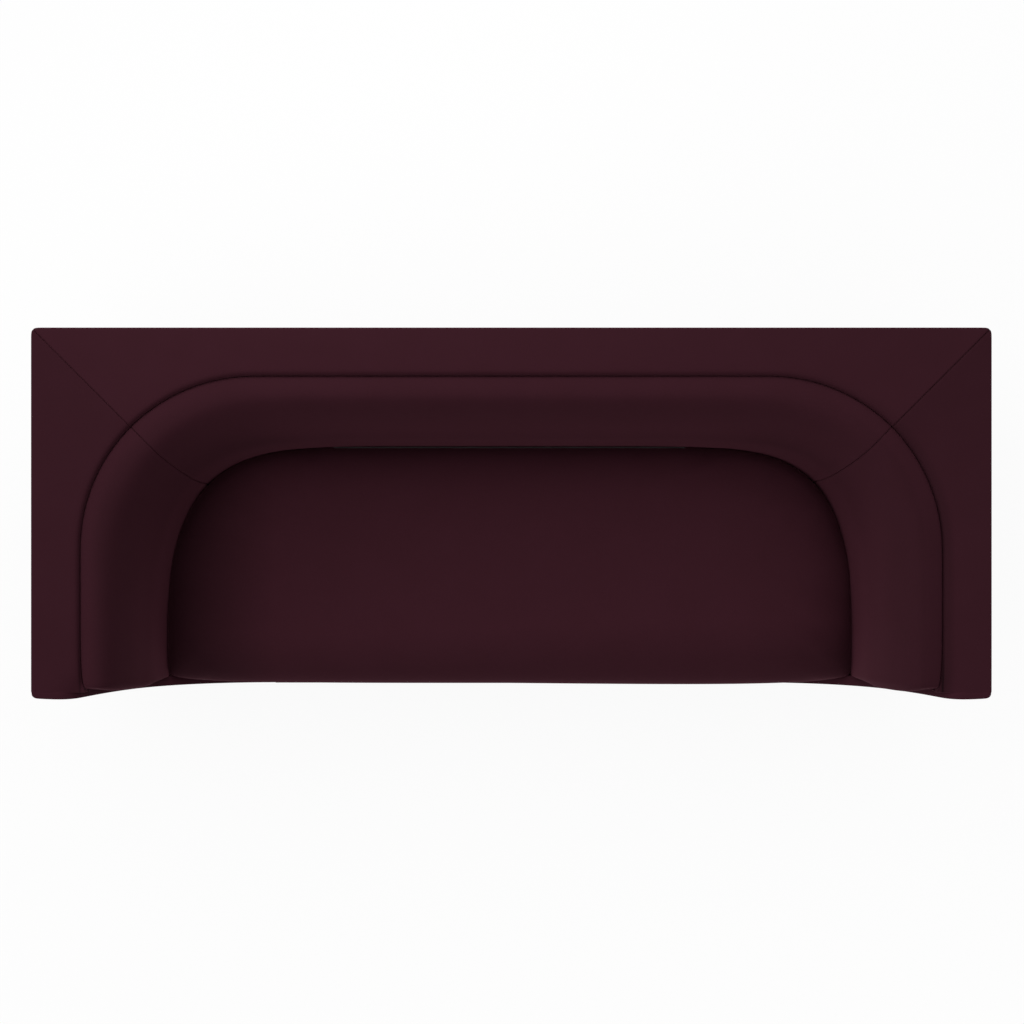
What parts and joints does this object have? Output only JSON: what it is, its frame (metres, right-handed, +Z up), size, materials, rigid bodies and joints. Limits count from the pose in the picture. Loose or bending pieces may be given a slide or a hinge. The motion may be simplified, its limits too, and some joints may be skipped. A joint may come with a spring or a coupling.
{
  "type": "curved sofa",
  "caption": "Upholstered sofa with a square outer shell, a flat mitred rim, a rounded wrap-around inner pad, swept front facings and a loose bench seat cushion.",
  "frame": {"origin": "on the floor, under the middle of the sofa's outline", "axes": "+X along the sofa to its right-hand end seen from the front, +Y to the back, +Z up"},
  "size_m": [2.134, 0.825, 0.74],
  "materials": {
    "velvet": "matte",
    "plywood": "matte",
    "beech": "matte",
    "stained_beech": "satin",
    "foam": "matte",
    "felt": "matte",
    "deck_cloth": "matte",
    "lining": "matte",
    "steel": "satin",
    "zip_nylon": "matte",
    "zip_metal": "satin",
    "glide_nylon": "matte"
  },
  "bodies": {
    "frame": {"arm_ribs_left": "plywood", "arm_ribs_right": "plywood", "back_panel": "plywood", "back_ribs": "plywood", "base_rail_back": "beech", "base_rail_front": "beech", "base_rail_left": "beech", "base_rail_right": "beech", "base_stretchers": "beech", "bent_liner": "plywood", "block_screws": "steel", "corner_ribs": "plywood", "deck_felt": "felt", "deck_pad": "deck_cloth", "dust_cover": "lining", "facing_cover_left": "velvet", "facing_cover_right": "velvet", "foot_back_centre": "stained_beech", "foot_back_left": "stained_beech", "foot_back_right": "stained_beech", "foot_blocks": "beech", "foot_bolts": "steel", "foot_front_centre": "stained_beech", "foot_front_left": "stained_beech", "foot_front_right": "stained_beech", "foot_glides": "glide_nylon", "front_board_left": "plywood", "front_board_right": "plywood", "front_border_cover": "velvet", "front_rail": "plywood", "outside_arm_cover_left": "velvet", "outside_arm_cover_right": "velvet", "outside_back_cover": "velvet", "pad_cover_back": "velvet", "pad_cover_left": "velvet", "pad_cover_right": "velvet", "pad_foam_back": "foam", "pad_foam_left": "foam", "pad_foam_right": "foam", "pad_shelf_back": "plywood", "pad_shelf_left": "plywood", "pad_shelf_right": "plywood", "rim_cover_back": "velvet", "rim_cover_left": "velvet", "rim_cover_right": "velvet", "rim_foam": "foam", "seat_springs": "steel", "side_panel_left": "plywood", "side_panel_right": "plywood", "spring_clips": "steel", "spring_tie_wires": "steel", "tee_nuts": "steel", "top_board_back": "plywood", "top_board_left": "plywood", "top_board_right": "plywood"},
    "seat_cushion": {"seat_cover": "velvet", "seat_foam": "foam", "zip_chain": "zip_nylon"},
    "zip_slider": {"zip_slider": "zip_metal"}
  },
  "joints": [
    {"name": "seat_lift", "type": "slide", "parent": "frame", "child": "seat_cushion", "axis": [0, 0, 1], "range_m": [0, 0.46]},
    {"name": "zip_slide", "type": "slide", "parent": "seat_cushion", "child": "zip_slider", "axis": [1, 0, 0], "range_m": [0, 0.8]}
  ]
}
